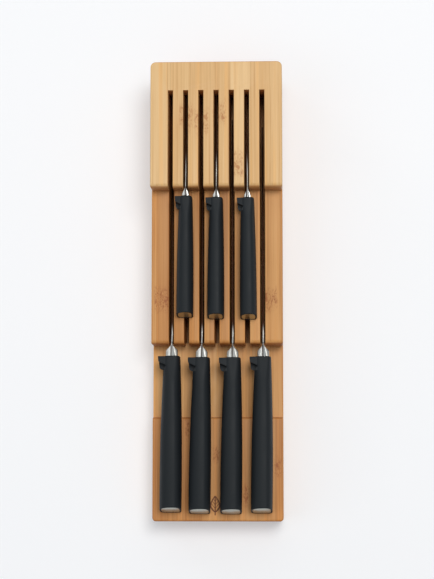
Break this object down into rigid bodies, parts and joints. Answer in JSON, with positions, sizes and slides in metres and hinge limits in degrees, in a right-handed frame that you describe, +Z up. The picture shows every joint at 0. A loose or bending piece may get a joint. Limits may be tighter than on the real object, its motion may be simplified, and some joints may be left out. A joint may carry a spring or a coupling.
{
  "type": "knife block with knives",
  "caption": "Flat stepped bamboo knife block for a drawer, with forged knives lying edge down in parallel slots, black handles forward.",
  "frame": {"origin": "middle of the footprint, on the surface that the feet stand on", "axes": "+Z up, +Y towards the high back step where the blades' points lie, +X to the right seen from the handles"},
  "size_m": [0.114, 0.397, 0.0747],
  "materials": {
    "bamboo": "satin, lightly oiled",
    "silicone": "matt",
    "soft_black": "soft-touch matt",
    "blade_steel": "satin ground",
    "cap_steel": "fine satin",
    "slug_steel": "plain turned"
  },
  "bodies": {
    "block": {"base_board": "bamboo", "core_board": "bamboo", "front_rest_board": "bamboo", "middle_board": "bamboo", "top_board": "bamboo", "foot_front_left": "silicone", "foot_front_right": "silicone", "foot_back_left": "silicone", "foot_back_right": "silicone"},
    "santoku_knife": {"santoku_knife_blade": "blade_steel", "santoku_knife_handle": "soft_black", "santoku_knife_weight": "slug_steel", "santoku_knife_end_cap": "cap_steel"},
    "paring_knife": {"paring_knife_blade": "blade_steel", "paring_knife_handle": "soft_black", "paring_knife_weight": "slug_steel", "paring_knife_end_cap": "cap_steel"},
    "chef_knife": {"chef_knife_blade": "blade_steel", "chef_knife_handle": "soft_black", "chef_knife_weight": "slug_steel", "chef_knife_end_cap": "cap_steel"},
    "utility_knife": {"utility_knife_blade": "blade_steel", "utility_knife_handle": "soft_black", "utility_knife_weight": "slug_steel", "utility_knife_end_cap": "cap_steel"},
    "bread_knife": {"bread_knife_blade": "blade_steel", "bread_knife_handle": "soft_black", "bread_knife_weight": "slug_steel", "bread_knife_end_cap": "cap_steel"},
    "tomato_knife": {"tomato_knife_blade": "blade_steel", "tomato_knife_handle": "soft_black", "tomato_knife_weight": "slug_steel", "tomato_knife_end_cap": "cap_steel"},
    "carving_knife": {"carving_knife_blade": "blade_steel", "carving_knife_handle": "soft_black", "carving_knife_weight": "slug_steel", "carving_knife_end_cap": "cap_steel"}
  },
  "joints": [
    {"name": "santoku_knife_lift", "type": "slide", "parent": "block", "child": "santoku_knife", "axis": [0, 0, 1], "range_m": [0, 0.07]},
    {"name": "paring_knife_lift", "type": "slide", "parent": "block", "child": "paring_knife", "axis": [0, 0, 1], "range_m": [0, 0.03]},
    {"name": "chef_knife_lift", "type": "slide", "parent": "block", "child": "chef_knife", "axis": [0, 0, 1], "range_m": [0, 0.07]},
    {"name": "utility_knife_lift", "type": "slide", "parent": "block", "child": "utility_knife", "axis": [0, 0, 1], "range_m": [0, 0.03]},
    {"name": "bread_knife_lift", "type": "slide", "parent": "block", "child": "bread_knife", "axis": [0, 0, 1], "range_m": [0, 0.07]},
    {"name": "tomato_knife_lift", "type": "slide", "parent": "block", "child": "tomato_knife", "axis": [0, 0, 1], "range_m": [0, 0.03]},
    {"name": "carving_knife_lift", "type": "slide", "parent": "block", "child": "carving_knife", "axis": [0, 0, 1], "range_m": [0, 0.07]}
  ]
}
